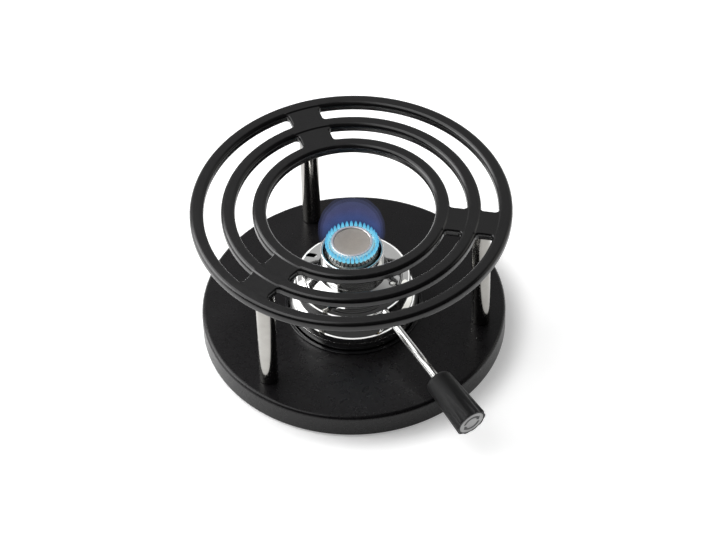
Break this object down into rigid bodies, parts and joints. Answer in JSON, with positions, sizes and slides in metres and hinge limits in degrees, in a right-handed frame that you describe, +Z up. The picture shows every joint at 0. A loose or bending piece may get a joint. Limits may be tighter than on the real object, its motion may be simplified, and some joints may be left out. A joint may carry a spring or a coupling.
{
  "type": "fondue burner",
  "caption": "Table-top fondue burner: ringed pot stand on posts over a round base, with a lift-out gas burner set by a long regulator rod and knob.",
  "frame": {"origin": "middle of the underside that rests on the table, on the axis of the base, burner and pot stand", "axes": "+Z up, +X to the right seen from the front, front towards -Y; the regulator rod points to the front right"},
  "size_m": [0.2312, 0.2505, 0.1229],
  "materials": {
    "pad": "matte black non-slip rubber",
    "base_lacquer": "satin black lacquer on board",
    "stand_enamel": "satin black enamel",
    "post_chrome": "polished chrome",
    "fastener_steel": "zinc-plated steel",
    "dish_enamel": "gloss black enamel",
    "tank_chrome": "polished chrome",
    "valve_brass": "turned brass",
    "seal_rubber": "black seal rubber",
    "filter_felt": "white felt",
    "head_steel": "heat-tinted stainless steel",
    "cap_chrome": "polished stainless steel",
    "disc_steel": "fine stainless gauze, beige from heat",
    "valve_steel": "stainless steel",
    "rod_chrome": "polished chrome",
    "knob_plastic": "satin black heat-proof plastic",
    "disc_aluminium": "satin aluminium"
  },
  "bodies": {
    "stand": {"non_slip_pad": "pad", "base_plate": "base_lacquer", "post_right": "post_chrome", "post_back": "post_chrome", "post_left": "post_chrome", "post_studs": "fastener_steel", "base_screws": "fastener_steel", "base_washers": "fastener_steel", "pot_stand": "stand_enamel"},
    "dish": {"burner_dish": "dish_enamel"},
    "burner": {"tank_cup": "tank_chrome", "tank_top": "tank_chrome", "gas_filter": "filter_felt", "burner_cover": "tank_chrome", "flame_collar": "tank_chrome", "valve_body": "valve_brass", "gland_packing": "seal_rubber", "gland_nut": "valve_brass", "gas_jet": "valve_brass", "mixing_tube": "head_steel", "burner_head": "head_steel", "cap_ring": "cap_chrome", "flame_disc": "disc_steel", "filler_body": "valve_brass", "filler_gasket": "seal_rubber", "filler_nut": "valve_brass", "filler_spring": "valve_steel"},
    "regulator": {"regulator_rod": "rod_chrome", "knob_insert": "valve_brass", "regulator_knob": "knob_plastic", "knob_end_disc": "disc_aluminium"},
    "needle": {"valve_needle": "valve_steel"},
    "filler": {"filler_stem": "valve_steel"}
  },
  "joints": [
    {"name": "burner_swivel", "type": "hinge", "parent": "stand", "child": "dish", "pos_m": [0, 0, 0.0199], "axis": [0, 0, 1], "range_deg": [-65, 38]},
    {"name": "burner_lift", "type": "slide", "parent": "dish", "child": "burner", "axis": [0, 0, 1], "range_m": [0, 0.06]},
    {"name": "regulator_turn", "type": "hinge", "parent": "burner", "child": "regulator", "pos_m": [0, 0, 0.0537], "axis": [0.527, -0.8369, -0.1478], "range_deg": [-270, 0]},
    {"name": "needle_advance", "type": "slide", "parent": "regulator", "child": "needle", "axis": [0.527, -0.8369, -0.1478], "range_m": [-0.00076, 0]},
    {"name": "filler_press", "type": "slide", "parent": "burner", "child": "filler", "axis": [0, 0, 1], "range_m": [0, 0.0012], "stiffness_N_per_m": 1500, "springref_m": -0.001, "deforming": ["filler_spring"]}
  ],
  "couplings": [
    {"joint": "needle_advance", "follows": "regulator_turn", "m_per_rad": 0.00015915}
  ]
}
